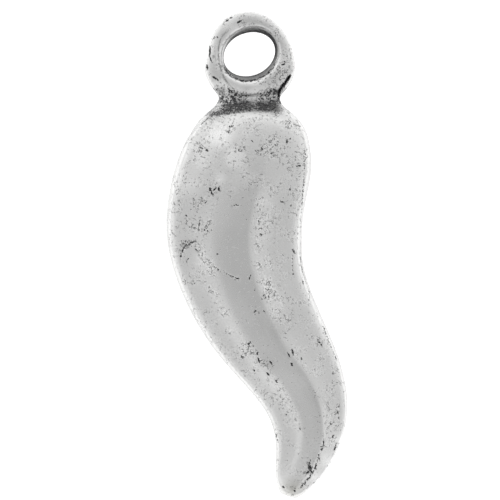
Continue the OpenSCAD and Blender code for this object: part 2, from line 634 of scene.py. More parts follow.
@dataclass(frozen=True)
class Mark:
    """One stroke on the front, pressed in and left dark: a pit, nick, scratch or crack, or a
    stroke of painted shade.
    """

    across: float
    """Where it starts, along X."""
    along: float
    """Where it starts, along Y."""
    to_across: float
    """Where it ends, along X."""
    to_along: float
    """Where it ends, along Y."""
    width: float
    """Its width."""
    depth: float
    """How deep it goes."""
    dark: float
    """How black it is, from 0 to 1."""
    bow: float = 0.0
    """How far its middle lies to the left of the straight way from start to end."""
    slimmer: float = 0.4
    """How much slimmer the ends of a long stroke are than its middle, as a share."""

    def nearness(self, spots: Spots, margin: float = 0.0) -> np.ndarray:
        """Says how near places lie to the stroke's line.

        Args:
            spots: the places.
            margin: how far the stroke is widened on each side.

        Returns:
            1 on the line, 0 at the stroke's edge and negative beyond it.
        """
        x, y = spots.x - self.across, spots.y - self.along
        way_x, way_y = self.to_across - self.across, self.to_along - self.along
        length = max(math.hypot(way_x, way_y), 0.001)
        t = np.clip((x * way_x + y * way_y) / length**2, 0.0, 1.0)
        arch = 4 * t * (1 - t)
        side = self.bow * arch / length
        away = np.hypot(x - t * way_x + side * way_y, y - t * way_y - side * way_x)
        slim = self.slimmer * (1 - arch) * min(1.0, length / (3 * self.width))
        return 1 - away / (self.width / 2 * (1 - slim) + margin)


@dataclass(frozen=True)
class Patch:
    """A round area: a broad dent or swelling, or where something gathers."""

    across: float
    along: float
    radius: float
    amount: float
    """Depth of a dent, negative for a swelling, or strength of what gathers."""

    def weight(self, spots: Spots) -> np.ndarray:
        """How much of the patch each place gets: 1 at its middle, 0 from its radius on."""
        away = np.hypot(spots.x - self.across, spots.y - self.along) / self.radius
        return 1 - ease(0.0, 1.0, away)

    def share(self, spots: Spots) -> np.ndarray:
        """The patch's amount at each place."""
        return self.amount * self.weight(spots)


@dataclass(frozen=True)
class Streak:
    """A lengthwise streak on the front, with soft ends and edges."""

    share: float
    """Place across, seen from the rib, as a share of half the width."""
    half: float
    """Half its width, as such a share."""
    rough: float
    """Strength of the speckle in it."""
    painted_light_and_polish: float
    # How much brighter its colour is, partly burnished metal and partly painted light, negative
    # where it is darker.
    """How much brighter it is polished, negative where it is duller."""
    top: float
    """Where it begins, along Y."""
    foot: float
    """Where it ends, along Y."""
    edge: Span = (0.3, 1.3)
    """Shares of half its width between which it fades out sideways."""
    ends: tuple[float, float] = (0.4, 0.6)
    """How far the fading at its ends reaches beyond them and into it."""

    def weight(self, share: np.ndarray, y: np.ndarray) -> np.ndarray:
        """Works out how much of the streak each place gets.

        Args:
            share: how far across the pepper the places lie.
            y: where they lie along Y.

        Returns:
            Numbers from 0 to 1.
        """
        beyond, into = self.ends
        near = 1 - ease(*self.edge, np.abs(share - self.share) / self.half)
        ended = ease(self.top - into, self.top + beyond, y)
        return near * ease(self.foot - beyond, self.foot + into, y) * (1 - ended)


@dataclass(frozen=True)
class WearAndPaintedShade:
    """The marks of casting and use on the front, and strokes of painted shade, as read off the
    photo, in millimetres.
    """

    nicks_and_painted_shade: tuple[Mark, ...] = table(
        Mark,
        (-3.39, -0.09, -2.71, 0.62, 0.11, 0.06, 0.68, 0.18),
        # This stroke has no depth: it is painted shade beside the nick.
        (-3.5, 0.25, -3.15, 0.54, 0.12, 0, 0.35, 0.07),
        (-2.53, 1.49, -2.6, 1.11, 0.08, 0.02, 0.48), (-2.59, 1.14, -2.57, 1.1, 0.1, 0.02, 0.5),
        (-3.04, -0.14, -3.13, -0.3, 0.06, 0.03, 0.5, 0.01),
        (-2.73, 0.32, -2.65, 0.16, 0.11, 0.02, 0.5),
        (-3.31, -1.19, -2.49, -1.19, 0.07, 0.015, 0.3, -0.07),
        (-1.91, -0.51, -1.41, -0.77, 0.07, 0.03, 0.42, -0.01),
        (-1.41, -0.77, -0.77, -1.05, 0.07, 0.03, 0.42, -0.04),
        (-0.26, -0.89, -0.33, -1.08, 0.06, 0.02, 0.5),
        (-1.08, 2.19, -0.81, 2.22, 0.07, 0.015, 0.5, 0.01),
        (-0.25, 3.13, 0.09, 3.25, 0.06, 0.01, 0.3, 0.02),
        (1.6, 0.03, 1.61, -0.75, 0.06, 0.01, 0.4),
        (0.16, -2.01, 0.59, -1.84, 0.06, 0.01, 0.4, 0.03),
        (0.02, 1.62, 0.12, 1.4, 0.06, 0.01, 0.5, 0.02),
        (0.14, 1.2, 0.32, 1.07, 0.06, 0.01, 0.5, 0.04),
        (2.76, -3.87, 2.93, -4.07, 0.07, 0.02, 0.6, 0.02),
        (-0.07, -2.54, 0.06, -2.44, 0.08, 0.02, 0.7),
        (-0.39, -3.95, -0.27, -3.85, 0.08, 0.02, 0.8),
        (0.85, -7.85, 0.96, -8.39, 0.09, 0.02, 0.4, -0.01),
    )
    # The nick on the left with painted shade beside it, and the scratches.
    """The nick on the left and the scratches."""
    pits: tuple[Mark, ...] = table(
        Mark,
        (-2.33, 1.12, -2.32, 1.1, 0.08, 0.02, 0.6), (-2.18, 1.09, -2.16, 1.06, 0.07, 0.01, 0.5),
        (-2.09, 2.97, -2.06, 2.87, 0.1, 0.03, 1), (-2.02, 2.82, -1.94, 2.7, 0.09, 0.03, 1),
        (-1.91, 2.87, -1.81, 3, 0.08, 0.02, 1), (-1.69, 2.97, -1.67, 2.9, 0.1, 0.03, 1),
        (-2.28, 2.33, -2.19, 2.41, 0.08, 0.02, 0.7), (-2.83, 2.51, -2.82, 2.44, 0.08, 0.02, 0.6),
        (-3.14, 1.77, -3.11, 1.74, 0.09, 0.02, 0.65), (-3.12, 1.56, -3.11, 1.52, 0.08, 0.02, 0.4),
        (-1.75, 0.04, -1.72, 0.03, 0.08, 0.01, 0.25), (0.18, 0.94, 0.21, 0.91, 0.09, 0.03, 0.75),
        (1.5, 3.06, 1.49, 2.85, 0.06, 0.02, 0.7), (1.07, 2.4, 1.27, 2.32, 0.08, 0.02, 0.62, 0.01),
        (1.53, 2.27, 1.53, 2.19, 0.08, 0.02, 0.6), (1.37, 5.15, 1.35, 5.02, 0.09, 0.03, 0.9),
        (0.64, 4.54, 0.76, 4.58, 0.08, 0.02, 0.75), (-0.05, 4.64, -0.03, 4.62, 0.08, 0.02, 0.7),
        (0.23, 4.77, 0.25, 4.69, 0.08, 0.02, 0.55), (-0.8, 4.68, -0.76, 4.62, 0.09, 0.02, 0.55),
        (-0.22, 5.1, -0.18, 5.06, 0.07, 0.02, 0.15), (1.82, 3.98, 1.94, 3.99, 0.08, 0.02, 0.8),
        (-1.22, 5.74, -1.05, 5.77, 0.08, 0.02, 0.8), (-1.27, 5.51, -1.23, 5.55, 0.09, 0.02, 0.9),
        (-2.5, 4.78, -2.39, 4.78, 0.07, 0.02, 0.9), (-2.25, 4.69, -2.19, 4.65, 0.09, 0.02, 1),
        (1.62, 0.22, 1.7, 0.09, 0.09, 0.03, 0.85), (1.63, -0.86, 1.65, -0.88, 0.08, 0.02, 0.9),
        (2.07, -1.18, 2.09, -1.27, 0.08, 0.01, 0.5), (-0.1, -1.52, -0.08, -1.54, 0.07, 0.01, 0.5),
        (0.31, -2.47, 0.35, -2.53, 0.08, 0.02, 0.7), (1.43, -4.45, 1.48, -4.5, 0.1, 0.04, 1),
        (1.58, -4.22, 1.62, -4.44, 0.08, 0.03, 1, 0.01), (1.56, -4.83, 1.57, -4.89, 0.1, 0.04, 1),
        (1.99, -4.61, 2, -4.64, 0.07, 0.02, 0.8), (0.87, -5.62, 0.89, -5.64, 0.09, 0.03, 1),
        (0.48, -5.26, 0.56, -5.35, 0.09, 0.03, 0.65), (0.62, -4.76, 0.66, -4.8, 0.09, 0.03, 0.7),
        (0.08, -4.62, 0.14, -4.8, 0.08, 0.03, 0.8), (0.13, -4.73, 0.22, -4.69, 0.07, 0.02, 0.9),
        (0.06, -4.32, 0, -4.45, 0.08, 0.03, 1), (-0.68, -4.53, -0.59, -4.54, 0.08, 0.02, 0.8),
        (-0.11, -5.13, -0.09, -5.18, 0.07, 0.02, 0.7), (3.43, -5.23, 3.41, -5.33, 0.07, 0.02, 0.6),
        (3.7, -6.76, 3.68, -6.84, 0.09, 0.03, 0.5), (3.64, -7, 3.63, -7.1, 0.09, 0.03, 0.6),
        (3.67, -7.28, 3.69, -7.37, 0.08, 0.03, 0.5), (3.3, -7.51, 3.32, -7.56, 0.09, 0.03, 0.7),
        (3.44, -8.09, 3.4, -8.21, 0.09, 0.03, 0.7),
        (3.56, -8.51, 3.49, -8.74, 0.09, 0.03, 0.6, 0.01),
        (1.94, -7.76, 1.96, -7.8, 0.08, 0.02, 0.6), (1.31, -7.13, 1.34, -7.16, 0.08, 0.02, 0.5),
        (1.27, -9.2, 1.41, -9.2, 0.07, 0.01, 0.3), (1.88, -8.9, 1.9, -8.92, 0.07, 0.01, 0.2),
        (2.22, -9.04, 2.29, -9.07, 0.08, 0.02, 0.5), (1.2, -10.42, 1.23, -10.46, 0.09, 0.03, 0.6),
        (1.71, -10.58, 1.73, -10.62, 0.08, 0.02, 0.6),
        (1.59, -10.81, 1.67, -10.81, 0.08, 0.02, 0.6),
    )
    """The larger pits."""
    crack: tuple[Mark, ...] = table(
        Mark,
        (2.97, -8.02, 2.98, -8.12, 0.06, 0.02, 0.35), (3, -8.28, 3, -8.44, 0.07, 0.03, 0.5),
        (3, -8.44, 2.98, -8.66, 0.08, 0.03, 0.6, 0.01), (2.98, -8.66, 2.87, -8.7, 0.08, 0.03, 0.6),
        (2.89, -8.58, 2.92, -8.64, 0.06, 0.02, 0.5), (2.8, -8.95, 2.78, -9.08, 0.1, 0.03, 0.6),
        (2.78, -9.1, 2.83, -9.22, 0.07, 0.03, 0.5), (2.76, -9.14, 2.73, -9.22, 0.06, 0.02, 0.5),
        (2.67, -9.38, 2.61, -9.56, 0.09, 0.03, 0.6, 0.02),
        (2.6, -9.58, 2.66, -9.62, 0.07, 0.03, 0.45), (2.44, -9.14, 2.4, -9.28, 0.05, 0.02, 0.35),
        (2.38, -9.28, 2.35, -9.46, 0.09, 0.04, 0.6, 0.01),
        (2.37, -9.46, 2.44, -9.56, 0.14, 0.05, 0.7), (2.42, -9.56, 2.46, -9.74, 0.13, 0.05, 0.7),
        (2.36, -9.5, 2.37, -9.74, 0.12, 0.05, 0.65), (2.34, -9.74, 2.25, -9.79, 0.13, 0.05, 0.7),
        (2.2, -9.74, 2.12, -9.8, 0.08, 0.03, 0.5), (2.1, -9.8, 2.14, -9.84, 0.06, 0.02, 0.5),
        (2.44, -9.8, 2.42, -9.98, 0.1, 0.04, 0.6), (2.56, -9.7, 2.5, -9.84, 0.1, 0.03, 0.4),
        (2.4, -9.99, 2.35, -10.03, 0.08, 0.03, 0.55), (2.31, -10.02, 2.28, -10.12, 0.1, 0.03, 0.5),
        (2.22, -10.11, 2.15, -10.16, 0.07, 0.03, 0.4),
        (2.19, -10.2, 2.16, -10.29, 0.08, 0.03, 0.5),
        (2.09, -10.27, 2.06, -10.37, 0.09, 0.03, 0.5),
        (2.01, -10.38, 1.99, -10.48, 0.07, 0.03, 0.4),
    )
    """The crack along the tip's right side."""
    loop_marks: tuple[Mark, ...] = table(
        Mark,
        (-0.83, 10.44, -0.72, 10.53, 0.11, 0.03, 1), (-1.35, 10.54, -1.28, 10.58, 0.08, 0.02, 0.9),
        (-1.18, 10.66, -1.12, 10.67, 0.08, 0.02, 0.8), (-1.91, 9.74, -1.89, 9.8, 0.08, 0.02, 0.9),
        (-1.77, 9.8, -1.75, 9.79, 0.07, 0.01, 1), (-2.1, 9.39, -2.12, 8.94, 0.09, 0.04, 1, 0.02),
        (-2.11, 8.94, -2, 8.66, 0.07, 0.03, 0.8), (-2.23, 8.54, -2.2, 8.37, 0.1, 0.03, 0.9),
        (-1.96, 8.01, -1.74, 7.86, 0.09, 0.03, 1, 0.01),
        (1.15, 8.56, 1.25, 8.6, 0.09, 0.03, 1, -0.02), (1.26, 8.62, 1.27, 8.68, 0.08, 0.02, 0.8),
        (-0.64, 10.98, -0.35, 10.98, 0.07, 0.02, 0.6, 0.01),
    )
    """Pits of the loop."""
    crease: tuple[Mark, ...] = table(
        Mark,
        (-1.24, 10.1, -1.59, 9.76, 0.09, 0, 0.5, -0.03),
        (-1.59, 9.76, -1.66, 8.66, 0.09, 0, 0.72, -0.09),
        (-1.66, 8.66, -1.01, 7.44, 0.1, 0, 0.85, -0.14),
        (-1.86, 9.51, -1.79, 8.55, 0.08, 0, 0.35, -0.05),
    )
    # Painted shade: thin dark lines along the crease of the loop, which have no depth of their
    # own.
    """Thin dark lines along the crease of the loop, which have no depth of their own."""
    groove: tuple[Mark, ...] = table(
        Mark,
        (1.5, 8.06, 1.29, 7.75, 0.16, 0.12, 1), (1.29, 7.75, 1.07, 7.49, 0.18, 0.12, 1),
        (1.07, 7.49, 1, 7.1, 0.15, 0.1, 1, -0.02), (1, 7.1, 1.07, 6.84, 0.11, 0.05, 0.8, -0.02),
    )
    # The groove under the loop's right haunch, black with patina and with painted shade under the
    # overhanging rim.
    """The groove under the loop's right haunch."""
    seam: tuple[Mark, ...] = table(
        Mark,
        (-1.96, 6.45, -2.61, 5.79, 0.07, 0.015, 0.6, 0.02),
        (-1.82, 6.54, -2.51, 5.84, 0.06, 0.008, 0.7, 0.02),
        (2.16, 4.7, 1.99, 1.8, 0.06, 0.008, 0.4, 0.03),
        (1.98, 1.74, 1.95, -0.02, 0.06, 0.008, 0.5, 0.02),
        (1.95, -0.02, 2.05, -0.73, 0.06, 0.008, 0.6),
        (2.05, -0.73, 2.39, -1.77, 0.06, 0.008, 0.6, 0.02),
        (2.96, -3.12, 3.59, -4.71, 0.06, 0.008, 0.5, -0.02),
    )
    """Where the casting's parting line shows beside the edge."""

    @property
    def marks(self) -> tuple[Mark, ...]:
        """All the marks that are pressed in, in one row."""
        return self.nicks_and_painted_shade + self.pits + self.crack + self.loop_marks + self.groove + self.seam


@dataclass
class Casting:
    """The whole charm: the pepper and the loop made one, smoothed, dented, weathered and given
    painted light and shade.
    """

    name: str = "pepper_charm_casting"
    smooth_levels: int = 3
    pepper: Pepper = Pepper()
    loop: Loop = Loop()
    wear: WearAndPaintedShade = WearAndPaintedShade()
    dents: tuple[Patch, ...] = table(
        Patch,
        (-2.97, -0.32, 0.92, 0.06), (-2.05, 5.95, 1.6, 0.19), (0.9, 5.75, 1.3, -0.06),
    )
    """Broad hollows of the front, and swellings where the amount is negative."""
    dent_fade: float = 0.5
    """Height above the mid-plane from which they have their full depth."""
    fine_margins: tuple[float, ...] = (0.05, 0.02)
    """How far round each mark the mesh is made finer, once for each number."""
    fine_depth: float = 0.01
    """Marks shallower than this have no finer mesh."""
    unevenness: float = 0.03
    """How far the skin wanders off its true form."""
    uneven_size: float = 1.6
    """Size of the wanderings."""
    least_push: float = 0.002
    """Share of a push below which a point stays where it is."""
    piece: bpy.types.Object = field(init=False)
    """The casting as far as it is made."""

    def join(self) -> None:
        """Models the pepper and the loop and bridges them into one cage."""
        loop = self.loop.model()
        self.piece = self.pepper.model()
        lone_choice(self.piece)
        loop.select_set(True)
        bpy.ops.object.join()
        self.piece.name = self.piece.data.name = self.name
        with Bench(self.piece, Pick.EDGES):
            bpy.ops.mesh.select_non_manifold()
            bpy.ops.mesh.bridge_edge_loops()
            bpy.ops.mesh.select_all(action="SELECT")
            bpy.ops.mesh.normals_make_consistent(inside=False)

    def change(self, name: str, kind: str, **settings: object) -> None:
        """Changes the casting by a modifier and applies it at once.

        Args:
            name: what the modifier makes.
            kind: the modifier's type.
            settings: its settings.
        """
        lone_choice(self.piece)
        modifier = self.piece.modifiers.new(name, kind)
        for setting, value in settings.items():
            setattr(modifier, setting, value)
        bpy.ops.object.modifier_apply(modifier=modifier.name)

    def smooth(self) -> None:
        """Rounds the cage by subdivision."""
        levels = self.smooth_levels
        self.change("rounding", "SUBSURF", levels=levels, render_levels=levels)
        bpy.ops.object.shade_smooth()

    def roughen(self) -> None:
        """Gives the skin the slight wanderings of a hand-finished casting."""
        clouds = bpy.data.textures.new("wandering", "CLOUDS")
        clouds.noise_scale = self.uneven_size
        self.change(
            "wandering", "DISPLACE", texture=clouds, texture_coords="LOCAL",
            mid_level=1.0, strength=self.unevenness,
        )

    def push(self, name: str, weight: np.ndarray, strength: float) -> None:
        """Moves the skin along its normals where a weight says so.

        Args:
            name: what the push makes.
            weight: one number from 0 to 1 for each point.
            strength: the full push, in millimetres: negative goes inwards.
        """
        group = self.piece.vertex_groups.new(name=name)
        for number in np.flatnonzero(weight > self.least_push):
            group.add([int(number)], float(weight[number]), "REPLACE")
        self.change(
            name, "DISPLACE", vertex_group=group.name, mid_level=0.0, strength=strength
        )
        self.piece.vertex_groups.clear()

    def points(self) -> Spots:
        """The places of all the casting's points."""
        return Spots.read(self.piece.data.vertices, "co")

    def dent(self) -> None:
        """Presses the broad dents into the front."""
        spots = self.points()
        for dent in self.dents:
            weight = dent.weight(spots) * ease(MID, MID + self.dent_fade, spots.z)
            self.push("dent", weight, -dent.amount)

    def refine(self) -> None:
        """Makes the mesh finer round each mark."""
        for margin in self.fine_margins:
            spots = Spots.read(self.piece.data.polygons, "center")
            near = np.zeros(len(spots.x), dtype=bool)
            for mark in self.wear.marks:
                if mark.depth >= self.fine_depth:
                    near |= (mark.nearness(spots, margin) > 0) & (spots.z > MID)
            with Bench(self.piece, Pick.FACES) as bench:
                bench.pick_numbers(np.flatnonzero(near).tolist())
                bpy.ops.mesh.subdivide(number_cuts=1)

    def press_marks(self) -> None:
        """Presses the marks into the front."""
        spots = self.points()
        deepest = max(mark.depth for mark in self.wear.marks)
        weight = np.zeros(len(spots.x))
        for mark in self.wear.marks:
            share = ease(0.0, 1.0, mark.nearness(spots)) * mark.depth / deepest
            weight = np.maximum(weight, np.where(spots.z > MID, share, 0.0))
        self.push("marks", weight, -deepest)

    def paint(self) -> None:
        """Writes the attributes that the finish reads, painted light and shade among them."""
        # The attributes hold wear and painted light and shade.
        weathering_and_painted_light = WeatheringAndPaintedLight(self.pepper, self.loop, self.wear)
        for tone, values in weathering_and_painted_light.paint(self.points()).items():
            attribute = self.piece.data.attributes.new(tone.value, "FLOAT", "POINT")
            attribute.data.foreach_set("value", np.clip(values, 0, 1).astype(np.float32))

    def model(self) -> bpy.types.Object:
        """Models the whole casting and brings it to its real size.

        Returns:
            The finished object.
        """
        self.join()
        self.smooth()
        self.roughen()
        self.dent()
        self.refine()
        self.press_marks()
        self.paint()
        lone_choice(self.piece)
        self.piece.scale = (MM, MM, MM)
        self.piece.location = (SEAT[0] * MM, SEAT[1] * MM, 0)
        bpy.ops.object.transform_apply(location=True, rotation=True, scale=True)
        return self.piece


@dataclass(frozen=True)
class WeatheringAndPaintedLight:
    """Where the casting is black, pitted, speckled or stained, and where light and shade are
    painted into its colour.
    """

    pepper: Pepper
    loop: Loop
    wear: WearAndPaintedShade
    foot: tuple[tuple[float, float], ...] = (
        (-2.4, 6.34), (-2.05, 6.16), (-1.43, 6.24), (-0.95, 6.32), (-0.12, 6.44), (0.5, 6.37),
        (0.88, 6.37), (1.1, 6.5), (1.9, 6.5),
    )
    """Edge of the neck's black on the shoulder: places along X and Y."""
    neck_middle: float = -0.34
    """Place of the neck's middle along X."""
    broken_cover: tuple[float, float] = (0.26, 0.62)
    """Cover of the neck's broken black, in its upper and in its lower part."""
    film_cover: tuple[float, float, float] = (0.12, 0.78, 0.42)
    # Cover of the neck's even black: in the upper part, in the lower part and on its sides.
    """Cover of the neck's even film: in the upper part, in the lower part and on its sides."""
    dark_top: Span = (6.85, 7.10)
    """Heights along Y between which the neck's black thins out upwards."""
    limb: Span = (1.63, 1.93)
    """Distances from the loop's centre between which the neck's black sets in."""
    limb_foot: Span = (7.45, 7.62)
    """Heights along Y between which the neck's black ends."""
    foot_fades: tuple[Span, Span] = ((-0.35, 0.0), (-0.05, 0.13))
    # Heights beside that edge between which the soft painted shade and the crisp black fade in.
    """Heights beside that edge between which a soft and a crisp black fade in."""
    painted_shade_skirt: Span = (0.8, 1.3)
    # Distances from the neck's middle between which the soft black, painted shade of the concave
    # slope, sets in.
    """Distances from the neck's middle between which the soft black sets in."""
    painted_shade_share: float = 0.35
    """Its share there."""
    lit_flank: tuple[Span, Span, Span] = ((1.0, 1.35), (6.42, 6.56), (6.80, 6.95))
    # Where the lit flanks get less black, as painted light: distances from the neck's middle,
    # heights from and up to.
    """Where the flanks are barer: distances from the neck's middle, heights from and up to."""
    lit_flank_loss: float = 0.6
    # How much of the black the painted light takes off there.
    """How much of the black they lack."""
    narrow: Span = (0.98, 1.12)
    """Distances from the neck's middle between which its narrow sides begin."""
    wall_side: Span = (1.6, 2.1)
    """Distances from the neck's middle over which the shoulder's steep wall loses its black."""
    wall_level: Span = (0.3, 0.6)
    """How level the skin lies from where on it isn't wall."""
    hole_edge: Span = (0.95, 1.01)
    """How far out the wall of the hole ends, where 1 is its mouth."""
    hole_cover: tuple[tuple[float, float], ...] = (
        (0, 0.85), (38, 0.97), (62, 0.92), (85, 0.76), (138, 0.68), (160, 0.35), (200, 0.35),
        (222, 0.66), (250, 0.54), (280, 0.66), (330, 0.6),
    )
    # Cover of the hole's wall, patina and painted shade: angle from +X, in degrees, and amount.
    """Cover of the hole's wall: angle from +X, in degrees, and amount."""
    painted_shade_waist: Span = (0.24, 0.52)
    # Distances from the mid-plane over which the painted shade deep in the hole fades and the
    # hole's wall becomes lighter.
    """Distances from the mid-plane over which the hole's wall becomes lighter."""
    waist_painted_shade: float = 0.35
    # How much darker the painted shade makes it at the mid-plane.
    """How much darker it is at the mid-plane."""
    lip: tuple[float, float] = (0.99, 0.036)
    """Place and half width of the black line under the hole, where 1 is the mouth."""
    lip_low: Span = (0.2, 0.7)
    """How low beside the hole it sets in, as the sine of the angle below level."""
    seam_half: float = 0.10
    """Half width of the parting line's black on the sides."""
    seam_cover: float = 0.34
    """Its cover."""
    seam_level: Span = (0.2, 0.5)
    """How level the skin lies where it fades out."""
    seam_from: float = 1.1
    """How far out from the hole it begins, where 1 is the mouth."""
    ink: Span = (0.0, 0.85)
    """How near to a stroke's line its black fades in, where 1 is on the line."""
    ink_spread: float = 0.25
    """How far a mark's black goes beyond it on each side, as a share of its width."""
    facing: Span = (0.10, 0.40)
    """How far up the skin has to face for a mark to keep its black."""
    blotches: tuple[Patch, ...] = table(
        Patch,
        (-1.05, 7.25, 0.45, 0.42), (-1.6, 7.1, 0.32, 0.4), (-0.6, 7.1, 0.35, 0.16),
        (0.55, 7.27, 0.42, 0.45), (0.9, 7.38, 0.35, 0.45), (0.98, 7.05, 0.3, 0.25),
        (-0.15, 7.14, 0.42, -0.27), (-0.15, 6.86, 0.3, -0.16), (0.15, 6.7, 0.5, 0.12),
        (-0.9, 6.72, 0.45, 0.14),
    )
    """Darker and lighter areas of the neck."""
    film_blotches: float = 0.4
    # How strongly they act on the even black.
    """How strongly they act on the film."""
    clusters: tuple[Patch, ...] = table(
        Patch,
        (1.45, 5.9, 0.5, 0.3), (-1.15, 5.62, 0.35, 0.16), (-2.35, 4.75, 0.45, 0.28),
        (0.84, 4.95, 0.9, 0.29), (1.45, 5.15, 0.5, 0.28), (0.2, 4.72, 0.5, 0.36),
        (-0.75, 4.66, 0.45, 0.32), (1.9, 4.65, 0.5, 0.32), (1.2, 4.1, 0.6, 0.3),
        (1.85, 4, 0.45, 0.34), (-0.95, 3.95, 0.45, 0.34), (-2.5, 3.5, 0.5, 0.2),
        (-1.92, 2.9, 0.4, 0.5), (-0.45, 2.65, 0.45, 0.26), (-2.65, 2.25, 0.6, 0.3),
        (1.35, 2.25, 0.5, 0.32), (0.1, 2.3, 0.4, 0.26), (0.25, 1.8, 0.5, 0.24),
        (-2.75, 1.45, 0.7, 0.38), (-2.2, 1.15, 0.45, 0.3), (0.25, 1.05, 0.6, 0.31),
        (-3.2, 0.3, 0.5, 0.3), (1.45, -1.8, 0.45, 0.34), (1.75, -2.45, 0.45, 0.3),
        (1.3, -3.5, 0.5, 0.3), (2.85, -3.85, 0.4, 0.3), (-0.2, -4.1, 0.4, 0.32),
        (0.38, -4.85, 0.6, 0.52), (0.6, -5.7, 0.45, 0.28), (3.5, -5.6, 0.5, 0.28),
        (2.65, -6.2, 0.35, 0.26), (1.2, -6.4, 0.4, 0.22), (3.45, -6.9, 0.5, 0.32),
        (3.35, -8.15, 0.45, 0.32), (2.35, -9.55, 0.5, 0.45), (1.55, -10.45, 0.6, 0.28),
        (-2.85, 4.45, 0.35, 0.26), (-3.2, 3.4, 0.35, 0.26), (-3.45, 2.2, 0.35, 0.28),
        (-3.55, 1.1, 0.4, 0.28), (2.9, -7.4, 0.5, 0.26), (1, 8.1, 0.75, 0.46),
        (0.3, 7.8, 0.45, 0.3), (0.8, 9.8, 0.6, 0.36), (1.35, 9.1, 0.5, 0.26),
        (-1.9, 9.3, 0.5, 0.12), (-0.7, 10.6, 0.6, 0.22), (-1.3, 7.9, 0.6, 0.08),
    )
    """Where small pits gather on the front."""
    polish_and_painted_light_patches: tuple[Patch, ...] = table(
        Patch,
        (-0.93, 4.3, 0.68, 0.95), (-1.6, 3.42, 0.42, 0.42), (-0.55, 3.45, 0.8, 0.14),
        (-1.7, 5.35, 0.8, 0.34), (-2.6, 4.3, 0.9, 0.38), (-3.05, 3.2, 0.9, 0.38),
        (-1, 3.4, 0.5, 0.12), (0.5, 4.95, 0.7, 0.08), (0.36, 0.85, 0.6, 0.16),
        (-0.45, 5.25, 0.6, 0.12), (0.29, 2.45, 0.65, 0.2), (0.35, 1.5, 0.6, 0.12),
        # The second patch on this line is painted shade beside the nick.
        (1.35, 3.3, 0.8, 0.08), (-2.75, 0.5, 0.7, -0.14), (0.4, -4.9, 0.8, -0.16),
        (1.2, -3, 0.75, -0.2), (2.65, -9.2, 0.6, -0.14), (0.95, -3.4, 0.6, -0.14),
        (3, -6.5, 0.7, -0.14), (-1.05, 10.35, 0.6, 0.45), (-1.8, 9, 1, 0.45),
        (-1.3, 7.85, 0.6, 0.4), (0.02, 7.62, 0.65, 0.5), (-0.18, 7.2, 0.45, 0.36),
        (-0.75, 7.62, 0.45, 0.4), (1, 8.75, 0.8, 0.4), (2.15, -7.6, 2.1, -0.17),
        # The last three patches are painted highlights on the bright rim past the crack on the
        # tip's right.
        (1.45, -10.2, 0.9, 0.12), (-0.1, 10.7, 0.6, -0.08), (3.6, -8.3, 0.45, 0.45),
        (3.15, -9.25, 0.45, 0.45), (2.6, -10, 0.4, 0.45),
    )
    # Patches of brighter colour, or darker where the amount is negative: partly burnished metal,
    # partly painted highlights and shade.
    """Where the front is polished brighter, or duller where the amount is negative."""
    clean: tuple[Patch, ...] = table(
        Patch,
        (-1.75, 5.55, 0.8, 0.22), (-0.5, 5.95, 0.6, 0.12), (-0.75, 4.35, 0.35, 0.1),
        (-2.3, 4, 0.6, 0.22), (0.55, 5.85, 0.45, 0.1), (-0.12, 3.6, 0.6, 0.14),
        (0.6, 3.5, 0.5, 0.12), (-1.38, 3.4, 0.4, 0.14), (-2.9, 3.7, 0.4, 0.1),
        (1.1, 1.1, 0.5, 0.12), (1.2, 3.1, 0.4, 0.12), (-1.6, 2.1, 0.45, 0.14),
    )
    """Where the front has fewer pits."""
    bare_pitting: tuple[float, float] = (0.255, 0.20)
    """Share of small pits elsewhere, on the upper and on the lower half of the front."""
    halves: Span = (-0.5, 1.0)
    """Heights along Y between which the lower half passes into the upper."""
    steep_dullness: float = 0.42
    """How much duller steep skin is."""
    dull_level: Span = (0.08, 0.5)
    """How level the skin lies where it stops being duller."""
    streaks: tuple[Streak, ...] = table(
        Streak,
        (-0.97, 0.12, 0.5, 0, 6, -10.3), (-0.46, 0.16, 0.9, 0.09, 2.2, -5.6),
        (-0.46, 0.13, 0.55, 0.09, -5.4, -7.6), (0.62, 0.16, 0.75, -0.04, -5.8, -8.8),
        (-0.48, 0.09, 0.3, 0.2, -7.4, -9.6), (0.4, 0.15, 1, 0.1, 2.6, -3.4),
        (0.4, 0.12, 0.4, 0, -3.4, -9.6), (0.24, 0.07, 0.2, 0.16, -6.6, -8.6),
        (-0.16, 0.13, 0, 0.08, -1.6, -8), (0.13, 0.06, 0, -0.1, -3.2, -7.4),
        (0.72, 0.2, 0.45, 0, 6, -10.3),
    )
    """Lengthwise streaks of the front."""
    stained: Patch = Patch(1.62, -10.50, 0.75, 1.0)
    """The stain on the tip."""
    shoulder: Patch = Patch(0.4, 4.9, 1.6, 0.7)
    """Where the shoulder is speckled."""
    smooth_band: tuple[float, float] = (-0.04, 0.17)
    """Middle and half width of the smooth band on the rib, as shares of half the width."""
    smooth_edge: Span = (0.05, 0.14)
    """Distances beyond its half width between which the band fades out."""
    smooth_foot: Span = (-9.6, -8.8)
    """Heights along Y between which it begins."""
    smooth_top: Span = (1.8, 3.6)
    """Heights along Y between which it ends."""
    smooth_lack: tuple[float, float] = (0.6, 0.3)
    """How much of the speckle it lacks, and how much more in its upper part."""
    smooth_rise: Span = (-3.0, -1.0)
    """Heights along Y between which that part begins."""
    rest: tuple[float, float] = (0.42, 0.1)
    """Strength of the speckle elsewhere, and what is added to it higher up."""
    rest_rise: Span = (0.5, 2.5)
    """Heights along Y between which that is added."""
    back: float = 0.5
    """How much of it is left on the back and on steep skin."""
    rest_facing: Span = (0.3, 0.7)
    """How far up the skin faces where it stops being steep."""

